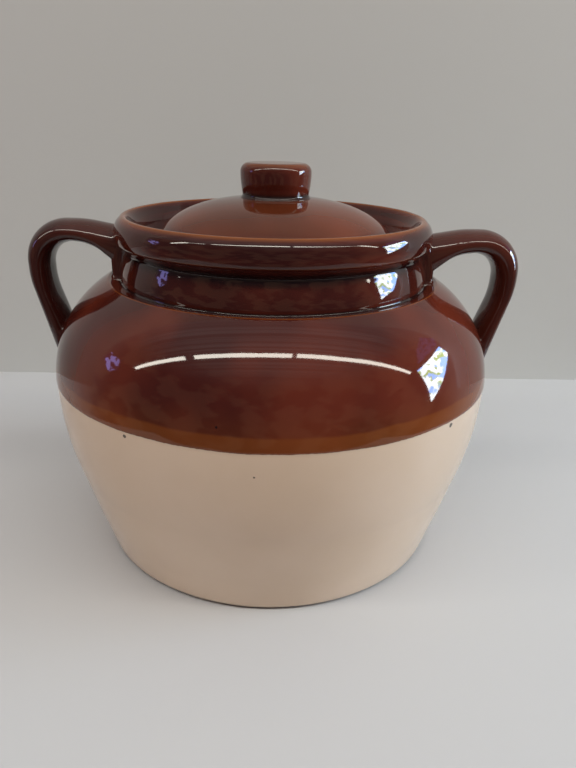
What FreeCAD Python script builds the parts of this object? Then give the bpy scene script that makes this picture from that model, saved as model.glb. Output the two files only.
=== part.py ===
import FreeCAD, Part
import math
import os
import Sketcher

# Stoneware bean pot: a round-shouldered crock with a necked, flared lip, two strap handles and
# a loose domed lid that sits on a ledge inside the lip. +Z is up, the two handles lie along X,
# and the origin is the centre of the foot. Every size is in millimetres.
SIZES = {
    # wall of the pot, from the foot up; a rise is counted from the height below it
    "foot_radius": 74.8,
    "foot_round": 2.0,
    "foot_ring": 9.0,
    "foot_hollow": 2.0,
    "flank_radius": 86.3,
    "flank_height": 38.0,
    "flank_curve": 600.0,
    "belly_radius": 92.0,
    "belly_height": 75.0,
    "belly_curve": 123.0,
    "shoulder_rise": 36.0,
    "shoulder_curve": 45.0,
    "crest_width": 11.0,
    "crest_rise": 2.6,
    "crest_curve": 14.4,
    "neck_radius": 63.0,
    "neck_band": 7.4,
    "neck_slope": 4.8,
    "neck_round": 5.0,
    "notch_depth": 3.7,
    "notch_round": 3.0,
    "lip_overhang": 2.0,
    "lip_flare": 10.4,
    "lip_face": 3.7,
    "lip_round": 2.6,
    "flare_round": 1.5,
    # hollow of the pot
    "wall": 6.5,
    "heel_wall": 8.3,
    "floor": 7.5,
    "floor_round": 12.0,
    "inner_shoulder_curve": 32.1,
    "neck_wall": 11.0,
    "throat_round": 4.0,
    # ledge that carries the lid
    "seat_depth": 9.9,
    "seat_width": 4.2,
    "seat_taper": 1.4,
    "seat_corner": 2.0,
    "seat_edge": 1.2,
    "bore_round": 2.6,
    # lid
    "lid_gap": 0.3,
    "lid_side_gap": 0.9,
    "flange_width": 7.6,
    "flange_thickness": 2.8,
    "flange_round": 1.1,
    "dome_height": 13.4,
    "dome_shoulder_drop": 4.8,
    "dome_shoulder_width": 12.1,
    "dome_shoulder_curve": 22.0,
    "dome_foot_round": 2.2,
    "dome_wall": 5.6,
    "ring_side_gap": 1.5,
    "ring_width": 4.0,
    "ring_depth": 5.0,
    "ring_round": 1.2,
    "under_shoulder_curve": 20.0,
    # knob
    "knob_radius": 14.4,
    "knob_foot_radius": 13.8,
    "knob_foot_rise": 5.5,
    "knob_height": 13.2,
    "knob_sink": 2.0,
    "knob_round": 3.4,
    # strap handles; each fall, drop or run is counted from the corner before it
    "handle_width": 21.0,
    "handle_stand": 11.6,
    "handle_drop": 4.4,
    "root_fall": 6.2,
    "top_run": 24.0,
    "top_curve": 50.0,
    "crook_outer_curve": 16.3,
    "leg_drop": 23.0,
    "leg_curve": 30.0,
    "tail_bury": 1.3,
    "tail_drop": 8.0,
    "tail_width": 10.5,
    "strap_thickness": 7.7,
    "crook_thickness": 7.0,
    "crook_inner_curve": 11.0,
    "inner_leg_drop": 20.0,
    "inner_leg_curve": 30.0,
    "heel_flare": 9.9,
    "heel_drop": 24.3,
    "underside_run": 20.3,
    "underside_fall": 2.4,
    "underside_curve": 20.0,
    "underside_drop": 6.4,
    "pad_stand": 3.3,
    "pad_round": 2.0,
    "pad_bury": 6.0,
    "root_bury": 24.0,
    "crown_round": 3.8,
    "underside_round": 2.0,
    # how far a cutting outline runs past the surface that it opens
    "cut_clear": 5.0,
}

# Heights and radii that several outlines share, as sums of the sizes above
CREST = "belly_height + shoulder_rise"
CREASE = CREST + " + crest_rise"
NECK_TOP = CREASE + " + neck_band"
NOTCH = NECK_TOP + " + neck_slope"
FLARE = NOTCH + " + lip_flare"
RIM = FLARE + " + lip_face"
LEDGE = RIM + " - seat_depth"
THROAT_RADIUS = "neck_radius - neck_wall"
SEAT_RADIUS = THROAT_RADIUS + " + seat_width"
BORE_RADIUS = SEAT_RADIUS + " + seat_taper"
LIP_RADIUS = "neck_radius + lip_overhang"

FLANGE_UNDER = LEDGE + " + lid_gap"
FLANGE_TOP = FLANGE_UNDER + " + flange_thickness"
FLANGE_RADIUS = SEAT_RADIUS + " - lid_side_gap"
DOME_RADIUS = FLANGE_RADIUS + " - flange_width"
DOME_TOP = FLANGE_TOP + " + dome_height"
RING_RADIUS = THROAT_RADIUS + " - ring_side_gap"
RING_BORE = RING_RADIUS + " - ring_width"
RING_FOOT = FLANGE_UNDER + " - ring_depth"

HANDLE_REACH = "belly_radius + handle_stand"
HANDLE_TOP = RIM + " - handle_drop"
CROOK_OUTER = (HANDLE_REACH, HANDLE_TOP)
TOP_BEND = (HANDLE_REACH + " - top_run", HANDLE_TOP)
LEG_BEND = (HANDLE_REACH, HANDLE_TOP + " - leg_drop")
CROOK_INNER = (HANDLE_REACH + " - strap_thickness", HANDLE_TOP + " - crook_thickness")
INNER_LEG_BEND = (CROOK_INNER[0], CROOK_INNER[1] + " - inner_leg_drop")
UNDERSIDE_BEND = (CROOK_INNER[0] + " - underside_run", CROOK_INNER[1] + " - underside_fall")
PAD_CORNER = ("neck_radius + pad_stand", UNDERSIDE_BEND[1] + " - underside_drop")
PAD_FOOT = (PAD_CORNER[0], CREASE + " - pad_bury")
ROOT_END = PAD_CORNER[0] + " - root_bury"

# Rounded bends of the neck, which the handles' roots follow too
NECK_BENDS = [
    ("neck_edge", "neck_radius", NECK_TOP, "neck_round"),
    ("notch_fillet", "neck_radius - notch_depth", NOTCH, "notch_round"),
]

COUNTER_CLOCKWISE = 1
CLOCKWISE = -1
ON_AXIS = ""
TOLERANCE = 1e-4


def words(terms):
    """Splits a sum such as 'wall + floor - foot_round' into (sign, alias) pairs."""
    sign = 1
    pairs = []
    for word in terms.split():
        if word in "+-":
            sign = 1 if word == "+" else -1
        else:
            pairs.append((sign, word))
    return pairs


def total(terms):
    """The sum's present value in millimetres."""
    return sum(sign * SIZES[word] for sign, word in words(terms))


def bound(terms):
    """The sum as an expression that reads the spreadsheet."""
    return " ".join(("+ " if sign > 0 else "- ") + "sizes." + word for sign, word in words(terms))[2:]


def make_sheet(doc):
    sheet = doc.addObject("Spreadsheet::Sheet", "sizes")
    for row, (word, size) in enumerate(SIZES.items(), start=1):
        sheet.set("A%d" % row, word)
        sheet.set("B%d" % row, str(size))
        sheet.setAlias("B%d" % row, word)
    doc.recompute()
    return sheet


def upright_plane(body):
    """The body's own XZ plane."""
    return next(plane for plane in body.Origin.OriginFeatures if plane.Role == "XZ_Plane")


def arc_centre(start, end, radius, turn):
    """Centre of the shorter arc of that radius, or of the arc that is centred on the axis."""
    if radius == ON_AXIS:
        height = (end.dot(end) - start.dot(start)) / (2 * (end.y - start.y))
        return FreeCAD.Vector(0, height, 0)
    chord = end - start
    rise = math.sqrt(total(radius)**2 - (chord.Length / 2)**2)
    left = FreeCAD.Vector(-chord.y, chord.x, 0).normalize()
    return (start + end) * 0.5 + left * (turn * rise)


def arc(start, end, radius, turn):
    centre = arc_centre(start, end, radius, turn)
    first, last = (start, end) if turn == COUNTER_CLOCKWISE else (end, start)
    angles = [math.atan2(point.y - centre.y, point.x - centre.x) for point in (first, last)]
    if angles[1] < angles[0]:
        angles[1] += 2 * math.pi
    circle = Part.Circle(centre, FreeCAD.Vector(0, 0, 1), (start - centre).Length)
    return Part.ArcOfCircle(circle, angles[0], angles[1])


def draw_outline(body, name, corners):
    """Closes a sketch through the corners, on the body's XZ plane.

    A corner is (x, z), or (x, z, radius, turn) where an arc leads on to the next one. An arc
    whose radius is ON_AXIS has its centre on the axis, so that it turns into part of a sphere.
    """
    sketch = body.newObject("Sketcher::SketchObject", name)
    sketch.AttachmentSupport = (upright_plane(body), [""])
    sketch.MapMode = "FlatFace"
    points = [FreeCAD.Vector(total(corner[0]), total(corner[1]), 0) for corner in corners]
    ends = []
    for index, corner in enumerate(corners):
        start = points[index]
        end = points[(index + 1) % len(points)]
        if len(corner) == 2:
            sketch.addGeometry(Part.LineSegment(start, end), False)
            ends.append((1, 2))
        else:
            sketch.addGeometry(arc(start, end, corner[2], corner[3]), False)
            ends.append((1, 2) if corner[3] == COUNTER_CLOCKWISE else (2, 1))
    for index in range(len(corners)):
        following = (index + 1) % len(corners)
        sketch.addConstraint(
            Sketcher.Constraint("Coincident", index, ends[index][1], following, ends[following][0]))
    for index, corner in enumerate(corners):
        place_corner(sketch, index, ends[index][0], corner)
    return sketch


def place_corner(sketch, index, end, corner):
    """Ties one corner, and the radius of the arc that leaves it, to the spreadsheet."""
    for kind, terms, axis in (("DistanceX", corner[0], -2), ("DistanceY", corner[1], -1)):
        if terms == ON_AXIS:
            sketch.addConstraint(Sketcher.Constraint("PointOnObject", index, end, axis))
        else:
            tie(sketch, Sketcher.Constraint(kind, index, end, total(terms)), terms)
    if len(corner) > 2 and corner[2] == ON_AXIS:
        sketch.addConstraint(Sketcher.Constraint("PointOnObject", index, 3, -2))
    elif len(corner) > 2:
        tie(sketch, Sketcher.Constraint("Radius", index, total(corner[2])), corner[2])


def tie(sketch, constraint, terms):
    number = sketch.addConstraint(constraint)
    sketch.setExpression("Constraints[%d]" % number, bound(terms))


def turn_profile(body, kind, name, corners):
    """A Revolution or a Groove: the outline turned once about Z."""
    sketch = draw_outline(body, name + "_outline", corners)
    feature = body.newObject("PartDesign::" + kind, name)
    feature.Profile = sketch
    feature.ReferenceAxis = (sketch, ["V_Axis"])
    feature.Angle = 360
    body.Document.recompute()
    if kind == "Groove" and feature.Shape.Volume >= feature.BaseFeature.Shape.Volume:
        raise RuntimeError(name + " cuts nothing")
    return feature


def round_edges(body, name, base, edges, size):
    if not edges:
        raise RuntimeError(name + " finds no edge")
    fillet = body.newObject("PartDesign::Fillet", name)
    fillet.Base = (base, edges)
    fillet.setExpression("Radius", "sizes." + size)
    body.Document.recompute()
    return fillet


def ring_edge(feature, radius, height):
    """Names of the circular edges at that radius and height."""
    names = []
    for number, edge in enumerate(feature.Shape.Edges, start=1):
        if edge.Degenerated or not isinstance(edge.Curve, Part.Circle):
            continue
        offset = abs(edge.Curve.Radius - total(radius)) + abs(edge.Curve.Center.z - total(height))
        if offset < TOLERANCE:
            names.append("Edge%d" % number)
    return names


def round_ring(body, name, base, radius, height, size):
    return round_edges(body, name, base, ring_edge(base, radius, height), size)


def make_body(doc, label):
    body = doc.addObject("PartDesign::Body", label)
    body.Label = label
    return body


def pot_outline():
    """Outside of the pot, filled to the axis; the handles are cut by it too."""
    return [
        (ON_AXIS, ON_AXIS),
        ("foot_radius", ON_AXIS, "flank_curve", COUNTER_CLOCKWISE),
        ("flank_radius", "flank_height", "belly_curve", COUNTER_CLOCKWISE),
        ("belly_radius", "belly_height", "shoulder_curve", COUNTER_CLOCKWISE),
        ("neck_radius + crest_width", CREST, "crest_curve", COUNTER_CLOCKWISE),
        ("neck_radius", CREASE),
        ("neck_radius", NECK_TOP),
        ("neck_radius - notch_depth", NOTCH),
        (LIP_RADIUS, FLARE),
        (LIP_RADIUS, RIM),
        (ON_AXIS, RIM),
    ]


def cavity_outline():
    return [
        (ON_AXIS, "floor"),
        ("foot_radius - heel_wall", "floor"),
        ("flank_radius - wall", "flank_height", "belly_curve", COUNTER_CLOCKWISE),
        ("belly_radius - wall", "belly_height", "inner_shoulder_curve", COUNTER_CLOCKWISE),
        (THROAT_RADIUS, CREASE + " - wall"),
        (THROAT_RADIUS, RIM + " + cut_clear"),
        (ON_AXIS, RIM + " + cut_clear"),
    ]


def seat_outline():
    return [
        (ON_AXIS, LEDGE),
        (SEAT_RADIUS, LEDGE),
        (BORE_RADIUS, RIM),
        (ON_AXIS, RIM),
    ]


def foot_outline():
    return [
        (ON_AXIS, ON_AXIS),
        ("foot_radius - foot_ring", ON_AXIS),
        ("foot_radius - foot_ring", "foot_hollow"),
        (ON_AXIS, "foot_hollow"),
    ]


def make_pot_body(doc):
    body = make_body(doc, "pot_body")
    turn_profile(body, "Revolution", "outside", pot_outline())
    turn_profile(body, "Groove", "cavity", cavity_outline())
    turn_profile(body, "Groove", "lid_seat", seat_outline())
    base = turn_profile(body, "Groove", "foot_recess", foot_outline())
    rounds = [
        ("foot_edge", "foot_radius", ON_AXIS, "foot_round"),
        ("floor_corner", "foot_radius - heel_wall", "floor", "floor_round"),
        *NECK_BENDS,
        ("flare_edge", LIP_RADIUS, FLARE, "flare_round"),
        ("lip_edge", LIP_RADIUS, RIM, "lip_round"),
        ("bore_edge", BORE_RADIUS, RIM, "bore_round"),
        ("seat_fillet", SEAT_RADIUS, LEDGE, "seat_corner"),
        ("ledge_edge", THROAT_RADIUS, LEDGE, "seat_edge"),
        ("throat_edge", THROAT_RADIUS, CREASE + " - wall", "throat_round"),
    ]
    for name, radius, height, size in rounds:
        base = round_ring(body, name, base, radius, height, size)
    return body


def lid_outline():
    """Section of the lid: dome, flange and locating ring, with the hollow underneath."""
    return [
        (ON_AXIS, DOME_TOP + " - dome_wall"),
        (ON_AXIS, DOME_TOP, ON_AXIS, CLOCKWISE),
        (DOME_RADIUS + " - dome_shoulder_width", DOME_TOP + " - dome_shoulder_drop",
         "dome_shoulder_curve", CLOCKWISE),
        (DOME_RADIUS, FLANGE_TOP),
        (FLANGE_RADIUS, FLANGE_TOP),
        (FLANGE_RADIUS, FLANGE_UNDER),
        (RING_RADIUS, FLANGE_UNDER),
        (RING_RADIUS, RING_FOOT),
        (RING_BORE, RING_FOOT),
        (RING_BORE, FLANGE_TOP + " - dome_wall", "under_shoulder_curve", COUNTER_CLOCKWISE),
        (RING_BORE + " - dome_shoulder_width", DOME_TOP + " - dome_shoulder_drop - dome_wall",
         ON_AXIS, COUNTER_CLOCKWISE),
    ]


def make_lid(doc):
    body = make_body(doc, "lid")
    base = turn_profile(body, "Revolution", "shell", lid_outline())
    rounds = [
        ("dome_foot", DOME_RADIUS, FLANGE_TOP, "dome_foot_round"),
        ("flange_upper_edge", FLANGE_RADIUS, FLANGE_TOP, "flange_round"),
        ("flange_lower_edge", FLANGE_RADIUS, FLANGE_UNDER, "flange_round"),
        ("ring_outer_edge", RING_RADIUS, RING_FOOT, "ring_round"),
        ("ring_inner_edge", RING_BORE, RING_FOOT, "ring_round"),
    ]
    for name, radius, height, size in rounds:
        base = round_ring(body, name, base, radius, height, size)
    return body


def make_knob(doc):
    """A drum, slightly narrower at its foot, whose underside follows the crown of the lid."""
    body = make_body(doc, "lid_knob")
    top = DOME_TOP + " + knob_height"
    foot = DOME_TOP + " - knob_sink"
    drum = turn_profile(body, "Revolution", "drum", [
        (ON_AXIS, foot),
        ("knob_foot_radius", foot),
        ("knob_radius", foot + " + knob_sink + knob_foot_rise"),
        ("knob_radius", top),
        (ON_AXIS, top),
    ])
    round_ring(body, "top_edge", drum, "knob_radius", top, "knob_round")
    turn_profile(body, "Groove", "crown_seat", lid_outline())
    return body


def handle_outline():
    """Side of a strap handle, with a pad against the neck under its upper end.

    Both ends run into the pot, where its outside cuts them.
    """
    return [
        (ROOT_END, HANDLE_TOP + " - root_fall"),
        TOP_BEND,
        CROOK_OUTER,
        LEG_BEND,
        ("belly_radius - tail_bury", "belly_height - tail_drop"),
        ("belly_radius - tail_bury - tail_width", "belly_height - tail_drop"),
        (INNER_LEG_BEND[0] + " - heel_flare", INNER_LEG_BEND[1] + " - heel_drop"),
        INNER_LEG_BEND,
        CROOK_INNER,
        UNDERSIDE_BEND,
        PAD_CORNER,
        PAD_FOOT,
        (ROOT_END, PAD_FOOT[1]),
    ]


def cross_edge(feature, corner):
    """Name of the edge that runs across the strap at that corner of its side."""
    for number, edge in enumerate(feature.Shape.Edges, start=1):
        box = edge.BoundBox
        offset = max(abs(box.XMin - total(corner[0])), abs(box.XMax - total(corner[0])),
                     abs(box.ZMin - total(corner[1])), abs(box.ZMax - total(corner[1])))
        if offset < TOLERANCE:
            return ["Edge%d" % number]
    return []


def side_edges(feature, outer):
    """Names of the edges along the strap's two flat sides, of its outer or its inner bend.

    The faces of the inner bend look into the opening between the strap and the pot. The faces
    that look straight down or straight inwards close the strap inside the pot and are left out.
    """
    half = total("handle_width") / 2
    opening = FreeCAD.Vector((total(CROOK_INNER[0]) + total(PAD_CORNER[0])) / 2, 0,
                             total(INNER_LEG_BEND[1]))
    names = []
    for number, edge in enumerate(feature.Shape.Edges, start=1):
        box = edge.BoundBox
        if max(abs(abs(box.YMin) - half), abs(box.YMax - box.YMin)) > TOLERANCE:
            continue
        place = edge.valueAt((edge.FirstParameter + edge.LastParameter) / 2)
        for face in feature.Shape.ancestorsOfType(edge, Part.Face):
            normal = face.normalAt(*face.Surface.parameter(place))
            runs_across = abs(normal.y) < 0.5
            looks_away = normal.dot(place - opening) > 0
            closes = min(normal.x, normal.z) < -1 + TOLERANCE
            if runs_across and looks_away == outer and not closes:
                names.append("Edge%d" % number)
    return names


def make_handle(doc, label, turned):
    body = make_body(doc, label)
    sketch = draw_outline(body, "side", handle_outline())
    base = body.newObject("PartDesign::Pad", "strap")
    base.Profile = sketch
    base.SideType = "Symmetric"
    base.setExpression("Length", "sizes.handle_width")
    doc.recompute()
    bends = [
        ("top_bend", TOP_BEND, "top_curve"),
        ("crook_outer", CROOK_OUTER, "crook_outer_curve"),
        ("leg_bend", LEG_BEND, "leg_curve"),
        ("inner_leg_bend", INNER_LEG_BEND, "inner_leg_curve"),
        ("crook_inner", CROOK_INNER, "crook_inner_curve"),
        ("underside_bend", UNDERSIDE_BEND, "underside_curve"),
        ("pad_bend", PAD_CORNER, "pad_round"),
    ]
    for name, corner, size in bends:
        base = round_edges(body, name, base, cross_edge(base, corner), size)
    base = round_edges(body, "crown_edges", base, side_edges(base, True), "crown_round")
    round_edges(body, "underside_edges", base, side_edges(base, False), "underside_round")
    base = turn_profile(body, "Groove", "pot_side", pot_outline())
    for name, radius, height, size in NECK_BENDS:
        base = round_ring(body, name, base, radius, height, size)
    body.Placement = FreeCAD.Placement(
        FreeCAD.Vector(0, 0, 0), FreeCAD.Rotation(FreeCAD.Vector(0, 0, 1), turned))
    return body


def check(doc, bodies):
    for item in doc.Objects:
        if "Invalid" in item.State or "Error" in item.State:
            raise RuntimeError(item.Name + " failed")
    for body in bodies:
        if body.Shape.isNull() or not body.Shape.isValid():
            raise RuntimeError(body.Label + " has no valid shape")
        if len(body.Shape.Solids) != 1:
            raise RuntimeError(body.Label + " is not one solid")


def main():
    doc = FreeCAD.newDocument("bean_pot")
    make_sheet(doc)
    bodies = [make_pot_body(doc), make_lid(doc), make_knob(doc)]
    for label, turned in (("handle_right", 0), ("handle_left", 180)):
        bodies.append(make_handle(doc, label, turned))
    doc.recompute()
    check(doc, bodies)
    os.makedirs("parts", exist_ok=True)
    for body in bodies:
        body.Shape.exportStep("parts/%s.step" % body.Label)
        print("%s: %.1f ml of clay" % (body.Label, body.Shape.Volume / 1000))


main()
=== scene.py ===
import math

import bmesh
import bpy
from mathutils import Matrix, Vector, noise
from mathutils.bvhtree import BVHTree


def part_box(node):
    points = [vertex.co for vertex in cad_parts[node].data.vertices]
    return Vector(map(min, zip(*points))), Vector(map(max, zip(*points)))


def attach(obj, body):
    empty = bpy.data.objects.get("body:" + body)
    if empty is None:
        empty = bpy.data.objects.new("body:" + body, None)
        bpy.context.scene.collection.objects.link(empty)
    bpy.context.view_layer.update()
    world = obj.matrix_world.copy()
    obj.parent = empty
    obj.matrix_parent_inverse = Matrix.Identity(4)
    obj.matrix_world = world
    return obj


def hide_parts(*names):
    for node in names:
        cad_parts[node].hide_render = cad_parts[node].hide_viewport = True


# Stoneware bean pot: a two-colour crock, its loose domed lid with a drum knob, and two strap
# handles. Sizes below are in millimetres unless a name says otherwise; the frame is in metres.
MM = 0.001
FINE_STEP = 1.6         # longest stretch of an outline before it is cut up
POT_SEGMENTS = 224
LID_SEGMENTS = 200
KNOB_SEGMENTS = 128
CORNER_SEGMENTS = 7

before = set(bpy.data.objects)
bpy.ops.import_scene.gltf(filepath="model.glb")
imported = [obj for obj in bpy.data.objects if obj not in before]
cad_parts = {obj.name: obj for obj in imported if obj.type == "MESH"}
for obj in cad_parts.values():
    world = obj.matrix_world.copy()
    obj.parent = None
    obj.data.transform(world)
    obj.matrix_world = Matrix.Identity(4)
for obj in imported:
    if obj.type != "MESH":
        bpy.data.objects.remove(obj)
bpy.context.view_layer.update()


def millimetres(node):
    """Lowest and highest corner of a CAD node, in millimetres."""
    low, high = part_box(node)
    return low / MM, high / MM


_, pot_high = millimetres("pot_body")
lid_low, lid_high = millimetres("lid")
_, knob_high = millimetres("lid_knob")
_, right_high = millimetres("handle_right")

# pot; a place on an outline is (radius, height)
RIM = pot_high.z
BELLY = pot_high.y
BELLY_HEIGHT = 75.0
FOOT = 74.8
FOOT_RING = 9.0
FOOT_HOLLOW = 2.0
FLANK = 86.3
FLANK_HEIGHT = 38.0
HEEL_CURVE = 600.0      # radii of the wall's curves, from the foot up
FLANK_CURVE = 123.0
SHOULDER_CURVE = 45.0
LIP_CURVE = 8.6
BROW = (68.2, 114.7)    # top of the shoulder, just outside the crease under the neck
CREASE = (63.1, 113.6)
NECK = 63.1
NOTCH = 59.9
LIP_LOW = (64.3, 129.6)
LIP_HIGH = (63.6, 137.4)
LEDGE = RIM - 9.9
THROAT = 52.0
SEAT = 56.2
BORE = 57.6
FLOOR = 7.5
WALL = 6.5
HEEL_WALL = 8.3
VAULT_CURVE = 32.1      # radius of the wall's inner face under the shoulder
GLAZE_LINE = 76.8
GLAZE_STEP = 0.22       # how far the cream stands back from the brown
GLAZED = 40.0           # height above the glaze line that stands for brown glaze all over
BARE = -90.0            # and the one that stands for bare clay

# lid
FLANGE_UNDER = LEDGE + 0.3
FLANGE_TOP = FLANGE_UNDER + 2.8
FLANGE = lid_high.y
DOME = 50.0
DOME_BASE = 125.4
DOME_RISE = lid_high.z - DOME_BASE
RING = 50.5
RING_BORE = 46.5
RING_FOOT = lid_low.z
LID_WALL = 5.6
CROWN_EDGE = 46.3
CROWN_STEPS = 34

# knob
KNOB = knob_high.y
KNOB_TOP = knob_high.z
KNOB_FOOT = KNOB - 0.6
LID_SHIFT = 0.5         # the loose lid lies a little to the right in its seat

# handles
STRAP = 21.0
CROWN = 0.54            # share of the strap's thickness that its rounded outer face takes
DEEPEST_CROWN = 6.8
DEEPEST_HOLLOW = 5.5
HANDLE_TOP = right_high.z
RIGHT_REACH = right_high.x
LEFT_REACH = RIGHT_REACH - 1.6
TOP_RUN = 24.0          # outer face of the strap: its level top, its crook and its leg
TOP_CURVE = 50.0
CROOK_CURVE = 16.3
LEG_DROP = 23.0
LEG_CURVE = 34.0
CROOK_DEPTH = 8.9       # inner face: how far it lies inside the outer one at crook and tail
UNDER_RUN = 29.0
UNDER_CURVE = 20.0
OPENING_CURVE = 11.0
OPENING_DROP = 20.0
TAIL_DEPTH = 11.2
STRAP_STEPS = (26, 12, 10, 26, 10, 16, 50)      # sections in each line and bend, from the root
PAD_STAND = 66.3        # outer face of the pad of clay that carries the strap on the neck
PAD_WIDTH = 21.2
PAD_FOOT = 107.5
PAD_TOP = 130.6
PAD_ROUND = 2.5
ROOT_FILLET = 1.1

# Each handle's piece, node and side, then its reach, its top, the height of the opening's upper
# edge, and how far out the strap meets the shoulder. The two differ a little.
HANDLES = (
    ("strap_right", "handle_right", 1, (RIGHT_REACH, HANDLE_TOP - 0.7, HANDLE_TOP - 8.6, BELLY - 0.7)),
    ("strap_left", "handle_left", -1, (LEFT_REACH, HANDLE_TOP + 0.7, HANDLE_TOP - 6.7, BELLY - 1.3)),
)


def ease(amount):
    """0 up to 0, 1 from 1 on, and smooth between."""
    amount = min(max(amount, 0.0), 1.0)
    return amount * amount * (3 - 2 * amount)


# ---------------------------------------------------------------- outlines

def arc(start, end, radius, turn, steps):
    """The points between start and end on an arc; turn is 1 counter-clockwise, -1 clockwise."""
    start, end = Vector(start), Vector(end)
    chord = end - start
    rise = math.sqrt(max(radius**2 - (chord.length / 2)**2, 0))
    left = Vector((-chord.y, chord.x)).normalized()
    centre = (start + end) / 2 + left * (turn * rise)
    first = math.atan2(start.y - centre.y, start.x - centre.x)
    last = math.atan2(end.y - centre.y, end.x - centre.x)
    sweep = (last - first) % (2 * math.pi) if turn > 0 else -((first - last) % (2 * math.pi))
    points = []
    for step in range(1, steps):
        angle = first + sweep * step / steps
        points.append((centre.x + radius * math.cos(angle), centre.y + radius * math.sin(angle)))
    return points


def pot_outline():
    """Section of the pot from the middle of its underside, up the outside and down the inside.

    A third number is the size of the corner's rounding.
    """
    shoulder_start = (BELLY, BELLY_HEIGHT)
    outside = [
        (0, FOOT_HOLLOW), (FOOT - FOOT_RING, FOOT_HOLLOW, 0.8), (FOOT - FOOT_RING + 0.8, 0, 0.8),
        (FOOT, 0, 2.2),
        *arc((FOOT, 0), (FLANK, FLANK_HEIGHT), HEEL_CURVE, 1, 12),
        (FLANK, FLANK_HEIGHT),
        *arc((FLANK, FLANK_HEIGHT), shoulder_start, FLANK_CURVE, 1, 12),
        shoulder_start,
        *arc(shoulder_start, BROW, SHOULDER_CURVE, 1, 100),
        (*BROW, 0.9), (*CREASE, 0.9),
        (NECK, 117.0, 2.0), (NECK - 1.2, 121.2, 2.3), (NOTCH, 125.6, 0.7),
        (*LIP_LOW, 0.8), *arc(LIP_LOW, LIP_HIGH, LIP_CURVE, 1, 16), (*LIP_HIGH, 0.8),
        (61.2, RIM, 1.2), (59.6, RIM - 0.9, 0.9),
    ]
    inside = [
        (56.6, RIM - 6.2, 1.5), (SEAT, LEDGE, 1.4), (THROAT, LEDGE, 1.0),
        (THROAT, CREASE[1] - WALL, 3.0),
        *arc((THROAT, CREASE[1] - WALL), (BELLY - WALL, BELLY_HEIGHT), VAULT_CURVE, -1, 26),
        (BELLY - WALL, BELLY_HEIGHT),
        *arc((BELLY - WALL, BELLY_HEIGHT), (FLANK - WALL, FLANK_HEIGHT), FLANK_CURVE, -1, 12),
        (FLANK - WALL, FLANK_HEIGHT), (FOOT - HEEL_WALL, FLOOR, 9.0), (0, FLOOR),
    ]
    return outside + inside


def dome_height(radius):
    """Height of the lid's crown at that radius: a cap flatter in the middle than a ball's."""
    return DOME_BASE + DOME_RISE * (1 - min(radius / DOME, 1)**2.5)**0.5


def lid_outline():
    """Section of the lid from the top of its crown, over the flange and back under the crown."""
    radii = [CROWN_EDGE * step / CROWN_STEPS for step in range(CROWN_STEPS + 1)]
    crown = [(radius, dome_height(radius)) for radius in radii]
    crown[-1] = (*crown[-1], 1.2)
    under = [(radius, dome_height(radius) - LID_WALL)
             for radius in (41.0, 38.0, 34.0, 29.0, 23.0, 16.0, 8.0, 0.0)]
    return crown + [
        (47.4, FLANGE_TOP + 0.2, 1.0), (FLANGE, FLANGE_TOP, 1.0), (FLANGE, FLANGE_UNDER, 1.0),
        (RING, FLANGE_UNDER, 0.6), (RING, RING_FOOT, 1.0), (RING_BORE, RING_FOOT, 1.0),
        (RING_BORE, FLANGE_TOP - LID_WALL, 2.0),
    ] + under


def knob_outline():
    """Section of the knob: a drum with a soft top edge, a waist, and a foot set in the crown."""
    foot = dome_height(KNOB_FOOT)
    return [
        (0, foot - 1.5), (KNOB_FOOT + 0.6, foot - 1.5), (KNOB_FOOT + 0.5, foot + 0.1, 0.3),
        (KNOB_FOOT - 0.35, foot + 1.1, 0.6), (KNOB, foot + 6.2, 3.5),
        (KNOB, KNOB_TOP - 0.15, 3.4), (0, KNOB_TOP),
    ]


# ---------------------------------------------------------------- mesh making

def outline_wire(points):
    """The outline as a chain of edges, with its marked corners rounded and long runs cut up."""
    bm = bmesh.new()
    corners = [bm.verts.new((point[0] * MM, 0, point[1] * MM)) for point in points]
    for start, end in zip(corners, corners[1:]):
        bm.edges.new((start, end))
    for corner, point in zip(corners, points):
        if len(point) == 3:
            bmesh.ops.bevel(bm, geom=[corner], offset=point[2] * MM, offset_type="OFFSET",
                            segments=CORNER_SEGMENTS, profile=0.5, affect="VERTICES", material=-1)
    for edge in [e for e in bm.edges if e.calc_length() > FINE_STEP * MM]:
        cuts = int(edge.calc_length() / (FINE_STEP * MM))
        bmesh.ops.subdivide_edges(bm, edges=[edge], cuts=cuts)
    return bm


def turned(points, segments):
    """The outline turned once about Z, as a closed skin whose faces point outwards."""
    bm = outline_wire(points)
    bmesh.ops.spin(bm, geom=bm.verts[:] + bm.edges[:], cent=(0, 0, 0), axis=(0, 0, 1),
                   dvec=(0, 0, 0), angle=2 * math.pi, steps=segments, use_merge=True,
                   use_normal_flip=False, use_duplicate=False)
    bmesh.ops.remove_doubles(bm, verts=bm.verts[:], dist=1e-6)
    bmesh.ops.recalc_face_normals(bm, faces=bm.faces[:])
    return bm


def smooth_values(bm, values, rounds):
    """Averages a number per vertex with its neighbours'."""
    rings = [[edge.other_vert(vert).index for edge in vert.link_edges] for vert in bm.verts]
    for _ in range(rounds):
        values = [(values[i] + sum(values[j] for j in ring) / len(ring)) / 2
                  for i, ring in enumerate(rings)]
    return values


def bending(bm):
    """How sharply the surface bends at each vertex, per millimetre: positive on an outer edge."""
    bm.verts.index_update()
    bm.normal_update()
    bends = []
    for vert in bm.verts:
        rate = 0.0
        for edge in vert.link_edges:
            away = vert.co - edge.other_vert(vert).co
            rate += vert.normal.dot(away) / away.length_squared
        bends.append(2 * rate / len(vert.link_edges) * MM)
    return smooth_values(bm, bends, 6)


def write_values(bm, name, values):
    """Stores a number per vertex under that name, for the materials to read."""
    layer = bm.verts.layers.float.new(name)
    for vert, value in zip(bm.verts, values):
        vert[layer] = value


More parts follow.
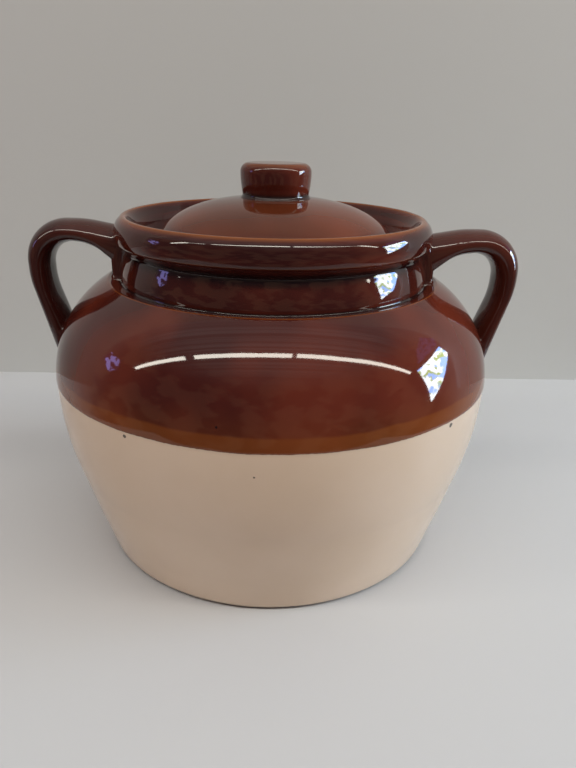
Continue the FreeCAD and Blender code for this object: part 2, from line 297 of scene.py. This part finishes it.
def finished(bm, name, material):
    """Turns the bmesh into an object at the origin, shaded smooth, and stores its bends."""
    write_values(bm, "bend", bending(bm))
    for face in bm.faces:
        face.smooth = True
    mesh = bpy.data.meshes.new(name)
    bm.to_mesh(mesh)
    bm.free()
    mesh.materials.append(material)
    piece = bpy.data.objects.new(name, mesh)
    bpy.context.scene.collection.objects.link(piece)
    return piece


# ---------------------------------------------------------------- the crock

def glaze_line(angle):
    """Height at which the brown glaze stops, all round the pot."""
    around = Vector((math.cos(angle), math.sin(angle), 0.0))
    slow = noise.noise(around * 1.4 + Vector((3.1, 0.0, 5.2)))
    quick = noise.noise(around * 9.0 + Vector((0.0, 7.7, 1.3)))
    return GLAZE_LINE + 0.55 * slow + 0.16 * quick


def make_crock(material):
    """The crock, whose cream glaze stands back a little from the brown one above it."""
    bm = turned(pot_outline(), POT_SEGMENTS)
    heights = []
    for vert in bm.verts:
        radius = math.hypot(vert.co.x, vert.co.y)
        height = vert.co.z / MM
        if radius < 1e-6:
            heights.append(GLAZED if height > FLOOR - 1 else BARE)
            continue
        above = height - glaze_line(math.atan2(vert.co.y, vert.co.x))
        outside = is_outside(radius / MM, height)
        heights.append(above if outside else GLAZED)
        if outside:
            inset = GLAZE_STEP * (1 - ease(above / 0.5 + 0.5)) * ease(height / 12 - 0.2)
            scale = 1 - inset * MM / radius
            vert.co.x *= scale
            vert.co.y *= scale
    write_values(bm, "above_line", heights)
    # Glaze thickness and painted shade on the neck and lip, stored for the material.
    write_values(bm, "coat_and_shade", [crock_coat_and_shade(vert.co / MM) for vert in bm.verts])
    crock = finished(bm, "crock", material)
    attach(crock, "pot")
    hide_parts("pot_body")
    return crock


# Bands up the neck and lip. The darker neck, the darkest band in the notch under the lip and the darker
# face of the lip are painted shade and painted dark reflection; the band below 0 on the rim top is
# glaze worn thin.
COAT_AND_SHADE_BANDS = ((113.6, 115.8, 0.30), (122.5, 125.0, 0.85), (127.0, 128.0, 0.12), (132.0, 134.2, 0.55),
         (137.4, 138.3, 0.0), (138.3, 139.3, -0.6))     # height from, height to, glaze thickness and painted shade from there up
COATED = 65.5           # the neck and lip are within this radius, and the shoulder is past it


def crock_coat_and_shade(place):
    """How dark the neck and lip are painted, 1 at the darkest, in the notch under the lip: painted
    shade and painted dark reflection; below 0 where the glaze is thin on the rim top.
    """
    radius, height = math.hypot(place.x, place.y), place.z
    if radius < BORE or radius > COATED:
        return 0.0
    # The thin glaze on the rim top is painted stronger on the pot's front than at its back: painted
    # light on the side towards the camera and the lamp tubes.
    front = 0.6 - 0.4 * place.y / radius
    coat_and_shade = 0.0
    for start, end, level in COAT_AND_SHADE_BANDS:
        coat_and_shade += (level - coat_and_shade) * ease((height - start) / (end - start))
    return coat_and_shade if coat_and_shade > 0 else coat_and_shade * front


def is_outside(radius, height):
    """Whether a point of the pot's skin lies on the outer wall or the underside."""
    if height < FLOOR - 1:
        return True
    if height > CREASE[1]:
        return radius > BORE
    middle = WALL / 2 if height > FLANK_HEIGHT else WALL / 2 + 0.8
    return radius > outer_radius(height) - middle


def outer_radius(height):
    """Rough radius of the outer wall at that height, for telling it from the inner wall."""
    if height < FLANK_HEIGHT:
        return FOOT + (FLANK - FOOT) * height / FLANK_HEIGHT
    if height < BELLY_HEIGHT:
        return FLANK + (BELLY - FLANK) * (height - FLANK_HEIGHT) / (BELLY_HEIGHT - FLANK_HEIGHT)
    rise = height - BELLY_HEIGHT
    across = BELLY - SHOULDER_CURVE + math.sqrt(max(SHOULDER_CURVE**2 - rise**2, 0))
    return max(across, NECK)


# ---------------------------------------------------------------- handles

def bent_path(corners, steps):
    """A chain of lines and round bends; a corner is (x, z) at the ends, else (x, z, radius)."""
    corners = [(Vector(corner[:2]), corner[2] if len(corner) == 3 else 0.0) for corner in corners]
    stretches = []
    start = corners[0][0]
    for (before, _), (corner, radius), (after, _) in zip(corners, corners[1:], corners[2:]):
        into, out = (corner - before).normalized(), (after - corner).normalized()
        turn = into.angle_signed(out)
        reach = radius * math.tan(abs(turn) / 2)
        first, last = corner - into * reach, corner + out * reach
        stretches.append(("line", start, first))
        stretches.append(("bend", first, last, into, turn, radius))
        start = last
    stretches.append(("line", start, corners[-1][0]))
    points = [corners[0][0]]
    for stretch, count in zip(stretches, steps):
        for step in range(1, count + 1):
            share = step / count
            if stretch[0] == "line":
                points.append(stretch[1].lerp(stretch[2], share))
            else:
                _, first, last, into, turn, radius = stretch
                side = Vector((into.y, -into.x)) * (1 if turn > 0 else -1)
                centre = first + side * radius
                points.append(centre + Matrix.Rotation(-turn * share, 2) @ (first - centre))
    return points


def strap_section(half_width, thickness):
    """Points round a strap's section: an oval crown outside, a slightly flatter one inside."""
    crown = min(CROWN * thickness, DEEPEST_CROWN)
    hollow_side = min(thickness - crown, DEEPEST_HOLLOW)
    squareness = 0.9
    ring = []
    for step in range(25):
        angle = math.pi * step / 24
        ring.append((half_width * math.cos(angle), thickness / 2 - crown * (1 - math.sin(angle))))
    for step in range(1, 18):
        angle = math.pi * step / 18
        across = math.copysign(abs(math.cos(angle))**squareness, -math.cos(angle))
        ring.append((half_width * across,
                     hollow_side * (1 - math.sin(angle)**squareness) - thickness / 2))
    return ring


def add_tube(bm, rings):
    """A skin through the rings of points, closed at both ends."""
    verts = [bm.verts.new(place) for place in rings[0]]
    loop = [bm.edges.new(pair) for pair in zip(verts, verts[1:] + verts[:1])]
    first_loop = loop
    for places in rings[1:]:
        grown = bmesh.ops.extrude_edge_only(bm, edges=loop)["geom"]
        fresh = {item for item in grown if isinstance(item, bmesh.types.BMVert)}
        verts = [next(edge.other_vert(vert) for edge in vert.link_edges
                      if edge.other_vert(vert) in fresh) for vert in verts]
        for vert, place in zip(verts, places):
            vert.co = place
        loop = [item for item in grown if isinstance(item, bmesh.types.BMEdge)
                and item.verts[0] in fresh and item.verts[1] in fresh]
    bmesh.ops.edgeloop_fill(bm, edges=first_loop)
    bmesh.ops.edgeloop_fill(bm, edges=loop)
    bmesh.ops.recalc_face_normals(bm, faces=bm.faces[:])


def strap_rings(reach, top, hollow, foot, side):
    """Sections along one strap; hollow is the height of the opening's upper edge.

    Both ends are sunk in the crock: the root in the neck, the tail in the belly.
    """
    root = NOTCH - 0.8
    tail = BELLY_HEIGHT - 8
    opening = reach - CROOK_DEPTH
    outer = [(root, top - 3.5), (reach - TOP_RUN, top, TOP_CURVE), (reach, top, CROOK_CURVE),
             (reach, top - LEG_DROP, LEG_CURVE), (foot, tail)]
    inner = [(root, hollow - 16), (reach - UNDER_RUN, hollow - 2.6, UNDER_CURVE),
             (opening, hollow, OPENING_CURVE), (opening, hollow - OPENING_DROP, LEG_CURVE),
             (foot - TAIL_DEPTH, tail)]
    rings = []
    for outside, inside in zip(bent_path(outer, STRAP_STEPS), bent_path(inner, STRAP_STEPS)):
        middle, across = (outside + inside) / 2, outside - inside
        up = across.normalized()
        rings.append([Vector(((middle.x + up.x * v) * side, u, middle.y + up.y * v)) * MM
                      for u, v in strap_section(STRAP / 2, across.length)])
    return rings


def pad_rings(side):
    """Level sections of the pad on the neck, which leans in and rounds off towards its top."""
    rise = PAD_TOP - PAD_ROUND - PAD_FOOT
    heights = [(PAD_FOOT + step * rise / 26, 0.0) for step in range(27)]
    for step in range(1, 7):
        angle = math.radians(15 * step)
        heights.append((PAD_TOP - PAD_ROUND * (1 - math.sin(angle)), PAD_ROUND * (1 - math.cos(angle))))
    rings = []
    for height, inset in heights:
        lean = 2.5 * ease((height - 120) / 12)
        stand = PAD_STAND - lean - inset
        half = PAD_WIDTH / 2 - inset
        back = BORE - 0.6
        outline = bent_path([(back, half), (stand, half, 2), (stand, -half, 2), (back, -half)],
                            (10, 7, 16, 7, 10))
        rings.append([Vector((point.x * side, point.y, height)) * MM for point in outline])
    return rings


def make_handle(name, node, side, size, crock_tree, material):
    """One strap handle with the pad under its root; both spread into the crock's skin."""
    bm = bmesh.new()
    add_tube(bm, strap_rings(*size, side))
    add_tube(bm, pad_rings(side))
    spread_roots(bm, crock_tree, ROOT_FILLET * MM)
    write_values(bm, "coat_and_shade", [0.5] * len(bm.verts))
    handle = finished(bm, name, material)
    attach(handle, "pot")
    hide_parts(node)


def spread_roots(bm, crock_tree, fillet):
    """Widens the clay where it nears the crock, so that it runs into it with a small fillet."""
    bm.normal_update()
    normals = [vert.normal.copy() for vert in bm.verts]
    rest = [vert.co.copy() for vert in bm.verts]
    for _ in range(5):
        for vert, normal, home in zip(bm.verts, normals, rest):
            near, skin_normal, _, distance = crock_tree.find_nearest(vert.co)
            if (vert.co - near).dot(skin_normal) < 0:
                distance = 0.0
            if distance >= fillet:
                vert.co = home
                continue
            gain = fillet - math.sqrt(max(fillet**2 - (fillet - distance)**2, 0.0))
            crossing = 1 - max(normal.dot(skin_normal), 0.0)
            vert.co = vert.co.lerp(home + normal * gain * crossing, 0.6)


# ---------------------------------------------------------------- the lid and its knob

def lid_coat_and_shade(height):
    """The lid is painted dark down on the flange, painted shade where it sits in the gallery under the
    rim, and its glaze is a little thin over the dome.
    """
    return 0.6 - 0.76 * ease((height - FLANGE_TOP - 0.6) / 3.0)


def knob_coat(height):
    """The knob's glaze pools round its foot and is thin on its top."""
    foot = dome_height(KNOB_FOOT)
    return 0.9 * (1 - ease((height - foot - 1.2) / 1.5)) - 0.35 * ease((height - KNOB_TOP + 2.0) / 1.6)


def make_lid_piece(name, node, bm, coat_and_shade, material):
    """A turned piece that rides on the lid, with its glaze thickness, and on the lid's flange its
    painted shade, stored by height.
    """
    write_values(bm, "coat_and_shade", [coat_and_shade(vert.co.z / MM) for vert in bm.verts])
    bmesh.ops.translate(bm, verts=bm.verts[:], vec=(LID_SHIFT * MM, 0, 0))
    piece = finished(bm, name, material)
    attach(piece, "lid")
    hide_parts(node)


# ---------------------------------------------------------------- materials

def new_material(name):
    """A material with one principled shader, and that shader."""
    material = bpy.data.materials.new(name)
    material.use_nodes = True
    nodes = material.node_tree.nodes
    nodes.clear()
    output = nodes.new("ShaderNodeOutputMaterial")
    shader = nodes.new("ShaderNodeBsdfPrincipled")
    material.node_tree.links.new(shader.outputs["BSDF"], output.inputs["Surface"])
    return material, shader


class Wiring:
    """Short calls for the nodes that the glazes and the room share."""

    def __init__(self, tree, space="Object"):
        self.tree = tree
        self.place = self.node("ShaderNodeTexCoord").outputs[space]

    def node(self, kind, **settings):
        made = self.tree.nodes.new(kind)
        for word, value in settings.items():
            setattr(made, word, value)
        return made

    def link(self, source, target):
        self.tree.links.new(source, target)

    def value(self, name):
        """A number that the mesh stores per vertex."""
        return self.node("ShaderNodeAttribute", attribute_name=name).outputs["Fac"]

    def noise(self, size, detail, stretch=(1, 1, 1)):
        """Noise whose lumps are about that many millimetres across."""
        mapping = self.node("ShaderNodeMapping")
        mapping.inputs["Scale"].default_value = [1 / (size * MM * part) for part in stretch]
        self.link(self.place, mapping.inputs["Vector"])
        texture = self.node("ShaderNodeTexNoise")
        texture.inputs["Scale"].default_value = 1.0
        texture.inputs["Detail"].default_value = detail
        self.link(mapping.outputs["Vector"], texture.inputs["Vector"])
        return texture.outputs["Fac"]

    def speck(self, x, y, z, radius):
        """1 within about that radius of a point, with a ragged edge."""
        made = self.node("ShaderNodeVectorMath", operation="DISTANCE")
        self.link(self.place, made.inputs[0])
        made.inputs[1].default_value = (x * MM, y * MM, z * MM)
        ragged = self.maths("ADD", made.outputs["Value"], self.uneven(0.8, 1.0, 0.9 * radius * MM))
        return self.ramp(ragged, 1.15 * radius * MM, 0.85 * radius * MM)

    def maths(self, operation, first, second, clamp=False):
        made = self.node("ShaderNodeMath", operation=operation, use_clamp=clamp)
        for socket, source in zip(made.inputs, (first, second)):
            if isinstance(source, (int, float)):
                socket.default_value = source
            else:
                self.link(source, socket)
        return made.outputs[0]

    def uneven(self, size, detail, amount):
        """Noise about zero, as strong as that amount."""
        return self.maths("MULTIPLY", self.maths("SUBTRACT", self.noise(size, detail), 0.5), amount)

    def ramp(self, source, low, high, kind="SMOOTHSTEP"):
        """0 below low, 1 above high, smooth or linear between; low may be the larger."""
        made = self.node("ShaderNodeMapRange", interpolation_type=kind)
        self.link(source, made.inputs["Value"])
        made.inputs["From Min"].default_value = low
        made.inputs["From Max"].default_value = high
        return made.outputs["Result"]

    def mix(self, share, first, second):
        made = self.node("ShaderNodeMix", data_type="RGBA")
        for socket, source in ((made.inputs[0], share), (made.inputs[6], first),
                               (made.inputs[7], second)):
            if isinstance(source, (int, float)):
                socket.default_value = source
            elif isinstance(source, tuple):
                socket.default_value = (*source, 1.0)
            else:
                self.link(source, socket)
        return made.outputs[2]

    def bump(self, height, distance, before=None):
        made = self.node("ShaderNodeBump")
        made.inputs["Distance"].default_value = distance * MM
        self.link(height, made.inputs["Height"])
        if before is not None:
            self.link(before, made.inputs["Normal"])
        return made.outputs["Normal"]


DEEP_BROWN = (0.046, 0.0078, 0.0058)
RED_BROWN = (0.116, 0.0210, 0.0108)
AMBER = (0.255, 0.074, 0.012)
# Dark brown for glaze pooled in creases and for specks, and also painted shade and painted dark
# reflection on the neck, the lip and the lid's flange.
POOLED_AND_SHADE = (0.0105, 0.0050, 0.0055)
CREAM = (0.730, 0.580, 0.452)
CREAM_WARM = (0.690, 0.540, 0.408)
CLAY = (0.420, 0.325, 0.235)
GLAZE_IOR = 1.45
GLAZE_ROUGHNESS = (0.03, 0.07)
WORN = (0.12, 0.50)             # bends at which the glaze starts to be, and is, worn thin
POOLING = (-0.08, -0.40)        # and at which it starts to pool, and has pooled
AMBER_BAND = (6.4, 5.2)         # heights above the glaze line between which the thin band ends
AMBER_FADE = (16.0, 3.0)        # and over which a fainter amber grows towards it
SPECKS = ((-49.5, -77.5, 75.4, 0.7), (64.4, -65.6, 75.4, 0.9), (-5.4, -91.7, 68.2, 0.45),
          (-17.4, -89.2, 85.0, 0.4), (30.0, 86.0, 70.5, 0.6))   # x, y, z, radius


def brown_colour(wiring, thin=None):
    """Brown glaze: red-brown clouds, amber where it is thin on edges, dark where it pools, and darkened
    where painted shade and painted dark reflection are stored.

    The clouds are redder towards +X and darker towards -X, painted shade on the side away from the
    window. thin is a share of amber that is added on top.
    """
    split = wiring.node("ShaderNodeSeparateXYZ")
    wiring.link(wiring.place, split.inputs[0])
    # Adding X paints shade: darker brown towards -X, the side away from the window light.
    cloud_and_side_shade = wiring.maths("ADD", wiring.noise(38, 2.0, (1, 1, 1.4)), split.outputs["X"])
    colour = wiring.mix(wiring.ramp(cloud_and_side_shade, 0.32, 0.68), DEEP_BROWN, RED_BROWN)
    bend = wiring.value("bend")
    coat_and_shade = wiring.value("coat_and_shade")
    # Where the stored value is below 0 the glaze is thin and amber; on the rim top it is painted
    # stronger at the front, painted light.
    colour = wiring.mix(wiring.maths("MULTIPLY", coat_and_shade, -1.0, clamp=True), colour, AMBER)
    worn = wiring.ramp(wiring.maths("ADD", bend, wiring.uneven(7, 2.0, 0.10)), *WORN)
    bare = wiring.maths("SUBTRACT", 0.50, wiring.maths("MULTIPLY", coat_and_shade, 0.9), clamp=True)
    colour = wiring.mix(wiring.maths("MULTIPLY", worn, bare), colour, AMBER)
    pooled = wiring.ramp(bend, *POOLING)
    colour = wiring.mix(wiring.maths("MULTIPLY", pooled, 0.9), colour, POOLED_AND_SHADE)
    # Painted shade and painted dark reflection on the neck, the notch under the lip, the lip's face and
    # the lid's flange; the same value also darkens the handles all over and the glaze pooled at the
    # knob's foot.
    colour = wiring.mix(wiring.maths("MULTIPLY", coat_and_shade, 0.9, clamp=True), colour, POOLED_AND_SHADE)
    if thin is not None:
        colour = wiring.mix(thin, colour, AMBER)
    return colour


def glaze_relief(wiring):
    """Slow swells and a fine orange peel in the surface of the glaze."""
    swell = wiring.bump(wiring.noise(26, 2.0), 0.08)
    return wiring.bump(wiring.noise(4.0, 1.0), 0.004, swell)


def finish_glaze(wiring, shader, colour):
    """The relief and the slightly uneven gloss that both glazes have, under their colour."""
    wiring.link(colour, shader.inputs["Base Color"])
    wiring.link(glaze_relief(wiring), shader.inputs["Normal"])
    gloss = wiring.node("ShaderNodeMapRange")
    wiring.link(wiring.noise(18, 3.0), gloss.inputs["Value"])
    gloss.inputs["To Min"].default_value, gloss.inputs["To Max"].default_value = GLAZE_ROUGHNESS
    wiring.link(gloss.outputs["Result"], shader.inputs["Roughness"])
    shader.inputs["IOR"].default_value = GLAZE_IOR


def brown_glaze():
    """Brown glaze all over, for the handles, lid and knob."""
    material, shader = new_material("brown_glaze")
    wiring = Wiring(material.node_tree)
    finish_glaze(wiring, shader, brown_colour(wiring))
    return material


def pot_glaze():
    """Brown over cream, and bare clay on the foot ring; the height above the line is stored."""
    material, shader = new_material("pot_glaze")
    wiring = Wiring(material.node_tree)
    above = wiring.value("above_line")
    ragged = wiring.maths("ADD", above, wiring.uneven(2.2, 3.0, 0.5))
    drift = wiring.maths("ADD", above, wiring.uneven(24, 2.0, 3.0))
    band = wiring.maths("MULTIPLY", wiring.ramp(drift, *AMBER_BAND), 0.34)
    fade = wiring.maths("MULTIPLY", wiring.ramp(drift, *AMBER_FADE), 0.16)
    brown = brown_colour(wiring, wiring.maths("ADD", band, fade))
    cream = wiring.mix(wiring.ramp(wiring.noise(40, 3.0), 0.30, 0.72), CREAM, CREAM_WARM)
    under = wiring.mix(wiring.ramp(ragged, -0.10, 0.12), cream, brown)
    for place in SPECKS:
        under = wiring.mix(wiring.maths("MULTIPLY", wiring.speck(*place), 0.85), under, POOLED_AND_SHADE)
    wiped = wiring.ramp(above, 2.2 - GLAZE_LINE, 1.2 - GLAZE_LINE)
    finish_glaze(wiring, shader, wiring.mix(wiped, under, CLAY))
    return material


def plain(name, colour, roughness):
    """One even colour."""
    material, shader = new_material(name)
    shader.inputs["Base Color"].default_value = (*colour, 1.0)
    shader.inputs["Roughness"].default_value = roughness
    return material


# ---------------------------------------------------------------- stage

CAMERA_PLACE = Vector((0.0, -0.2712, 0.1741))
CAMERA_YAW = math.radians(1.55)
CAMERA_PITCH = math.radians(22.13)
CAMERA_ROLL = math.radians(1.36)
CAMERA_LENS = 30.0

BOARD_DISTANCE = 0.173  # metres, as are all places on the stage
BOARD_COLOUR = (0.55, 0.565, 0.562)
BOARD_OUTLINE = ((-1.9, 0.0), (0.95, 0.0), (0.88, 0.12), (0.72, 0.26), (0.65, 0.36), (0.60, 0.54),
                 (0.55, 0.95), (-0.97, 1.0), (-1.19, 0.6), (-1.6, 0.25))      # x, z
TABLE_COLOUR = (0.525, 0.535, 0.56)
TABLE_OUTLINE = ((-0.28, -0.23), (0.25, -0.23), (0.25, 0.4), (-0.28, 0.4))    # x, y

# Each pane's name and material, its x, its corners as (y, z), the colours of its patches, how
# strongly it glows, and how many millimetres across a patch is.
PANES = (
    ("window", "garden", 1.3,
     ((0.359, 0.626), (0.373, 0.459), (0.119, 0.274), (-0.205, 0.041), (-0.205, 0.615)),
     ((0.86, 0.95, 1.0), (0.30, 0.42, 0.16), (0.25, 0.45, 0.95)), 24, 90),
    ("upper_pane", "dusk", 1.3,
     ((0.343, 0.988), (0.474, 0.739), (0.366, 0.675), (-0.117, 0.697), (0.045, 0.884)),
     ((0.50, 0.44, 1.0), (0.25, 0.22, 0.45)), 0.9, 60),
    ("far_pane", "evening", -0.6,
     ((0.033, 0.271), (0.016, 0.332), (-0.067, 0.334), (-0.101, 0.273), (-0.055, 0.215)),
     ((0.42, 0.38, 1.0), (0.03, 0.02, 0.05)), 5, 34),
)

TUBES = ((-2.35, -0.90), (-0.77, 0.17), (0.21, 2.55))     # from x, to x
TUBE_PLACE = (-0.54, 1.2)                                 # y, z
TUBE_WIDTH = 0.082
TUBE_WATTS = 5.2        # for each metre
TUBE_COLOUR = (1.0, 0.955, 0.84)

OVERHEAD = (0.57, 0.56, 0.55)
BEHIND = (0.49, 0.475, 0.465)
BACKDROP = (0.46, 0.455, 0.445)
GAPS = (0.08, 0.075, 0.09)
FURNITURE = (0.34, 0.22, 0.17)


def make_camera():
    """Looks down at the pot, a little to the right, and leans slightly."""
    forward = Vector((math.sin(CAMERA_YAW) * math.cos(CAMERA_PITCH),
                      math.cos(CAMERA_YAW) * math.cos(CAMERA_PITCH), -math.sin(CAMERA_PITCH)))
    right = Vector((math.cos(CAMERA_YAW), -math.sin(CAMERA_YAW), 0.0))
    up = right.cross(forward)
    across = right * math.cos(CAMERA_ROLL) + up * math.sin(CAMERA_ROLL)
    upwards = up * math.cos(CAMERA_ROLL) - right * math.sin(CAMERA_ROLL)
    data = bpy.data.cameras.new("camera")
    data.lens = CAMERA_LENS
    data.sensor_width = 36.0
    data.clip_start = 0.01
    camera = bpy.data.objects.new("camera", data)
    turn = Matrix((across, upwards, -forward)).transposed().to_4x4()
    camera.matrix_world = Matrix.Translation(CAMERA_PLACE) @ turn
    bpy.context.scene.collection.objects.link(camera)
    bpy.context.scene.camera = camera


def add_sheet(name, corners, material):
    """A flat sheet with those corners, given in metres and counter-clockwise as it is seen."""
    bm = bmesh.new()
    bm.faces.new([bm.verts.new(corner) for corner in corners])
    mesh = bpy.data.meshes.new(name)
    bm.to_mesh(mesh)
    bm.free()
    mesh.materials.append(material)
    sheet = bpy.data.objects.new(name, mesh)
    bpy.context.scene.collection.objects.link(sheet)
    return sheet


def board_material():
    """Pale board that is only there from the front, so that it hides nothing from behind."""
    material = plain("board", BOARD_COLOUR, 0.8)
    tree = material.node_tree
    shader = tree.nodes["Principled BSDF"]
    output = tree.nodes["Material Output"]
    clear = tree.nodes.new("ShaderNodeBsdfTransparent")
    facing = tree.nodes.new("ShaderNodeNewGeometry")
    mix = tree.nodes.new("ShaderNodeMixShader")
    tree.links.new(facing.outputs["Backfacing"], mix.inputs[0])
    tree.links.new(shader.outputs["BSDF"], mix.inputs[1])
    tree.links.new(clear.outputs["BSDF"], mix.inputs[2])
    tree.links.new(mix.outputs["Shader"], output.inputs["Surface"])
    return material


def glowing(name, colours, strength, size):
    """Light that falls through a window: patches of the colours, about that many mm across."""
    material, shader = new_material(name)
    wiring = Wiring(material.node_tree)
    colour = colours[0]
    for number, other in enumerate(colours[1:]):
        patch = wiring.ramp(wiring.noise(size * (1 + 0.35 * number), 1.0), 0.50, 0.58)
        colour = wiring.mix(patch, colour, other)
    shader.inputs["Base Color"].default_value = (0, 0, 0, 1)
    wiring.link(colour, shader.inputs["Emission Color"])
    shader.inputs["Emission Strength"].default_value = strength
    return material


def add_pane(name, corners, material):
    """A sheet that lights the pot and is mirrored in it, and that the camera doesn't see."""
    pane = add_sheet(name, corners, material)
    pane.visible_camera = False


def lamp_tube(name, low, high):
    """A long lamp along X from low to high, overhead and in front of the pot."""
    data = bpy.data.lights.new(name, "AREA")
    data.shape = "RECTANGLE"
    data.size, data.size_y = high - low, TUBE_WIDTH
    data.energy = TUBE_WATTS * (high - low)
    data.color = TUBE_COLOUR
    light = bpy.data.objects.new(name, data)
    light.location = ((low + high) / 2, *TUBE_PLACE)
    light.rotation_euler = (math.atan2(-TUBE_PLACE[0], TUBE_PLACE[1]), 0, 0)
    light.visible_camera = False
    bpy.context.scene.collection.objects.link(light)


def world_patches(wiring):
    """The dim side of the room: warm furniture and darker gaps."""
    texture = wiring.node("ShaderNodeTexNoise")
    texture.inputs["Scale"].default_value = 4.2
    texture.inputs["Detail"].default_value = 2.5
    wiring.link(wiring.place, texture.inputs["Vector"])
    return wiring.mix(wiring.ramp(texture.outputs["Fac"], 0.47, 0.53, "LINEAR"), GAPS, FURNITURE)


def world_slats(wiring, split):
    """A ceiling of slats that run along X."""
    texture = wiring.node("ShaderNodeTexNoise", noise_dimensions="1D")
    texture.inputs["Scale"].default_value = 16.0
    texture.inputs["Detail"].default_value = 1.0
    wiring.link(wiring.maths("DIVIDE", split.outputs["Y"], split.outputs["Z"]), texture.inputs["W"])
    dim, bright = (tuple(part * share for part in OVERHEAD) for share in (0.72, 1.28))
    return wiring.mix(wiring.ramp(texture.outputs["Fac"], 0.44, 0.56, "LINEAR"), dim, bright)


def make_world():
    """A room that is pale overhead and behind the pot, and dim in front of it."""
    world = bpy.data.worlds.new("room")
    world.use_nodes = True
    wiring = Wiring(world.node_tree, "Generated")
    split = wiring.node("ShaderNodeSeparateXYZ")
    wiring.link(wiring.place, split.inputs[0])
    up = wiring.ramp(split.outputs["Z"], 0.50, 0.95)
    back = wiring.ramp(split.outputs["Y"], -0.10, 0.45)
    colour = wiring.mix(up, world_patches(wiring), world_slats(wiring, split))
    colour = wiring.mix(back, colour, BEHIND)
    seen = wiring.node("ShaderNodeLightPath").outputs["Is Camera Ray"]
    colour = wiring.mix(seen, colour, BACKDROP)
    wiring.link(colour, world.node_tree.nodes["Background"].inputs["Color"])
    bpy.context.scene.world = world


def make_stage():
    """Table, board, the panes that the glaze mirrors, the tubes and the room round them."""
    add_sheet("floor", [(x, y, 0) for x, y in TABLE_OUTLINE], plain("table", TABLE_COLOUR, 0.5))
    add_sheet("board", [(x, BOARD_DISTANCE, z) for x, z in BOARD_OUTLINE], board_material())
    for name, look, x, corners, colours, glow, patch in PANES:
        add_pane(name, [(x, y, z) for y, z in corners], glowing(look, colours, glow, patch))
    for number, (low, high) in enumerate(TUBES):
        lamp_tube("tube_%d" % number, low, high)
    make_world()
    bpy.context.scene.view_settings.view_transform = "Standard"


# ---------------------------------------------------------------- assembly

def main():
    """The stage, then the five pieces; the handles need the crock's skin to run into."""
    make_camera()
    make_stage()
    brown = brown_glaze()
    crock = make_crock(pot_glaze())
    skin = bmesh.new()
    skin.from_mesh(crock.data)
    crock_tree = BVHTree.FromBMesh(skin)
    for name, node, side, size in HANDLES:
        make_handle(name, node, side, size, crock_tree, brown)
    skin.free()
    make_lid_piece("domed_lid", "lid", turned(lid_outline(), LID_SEGMENTS), lid_coat_and_shade, brown)
    make_lid_piece("drum_knob", "lid_knob", turned(knob_outline(), KNOB_SEGMENTS), knob_coat, brown)


main()
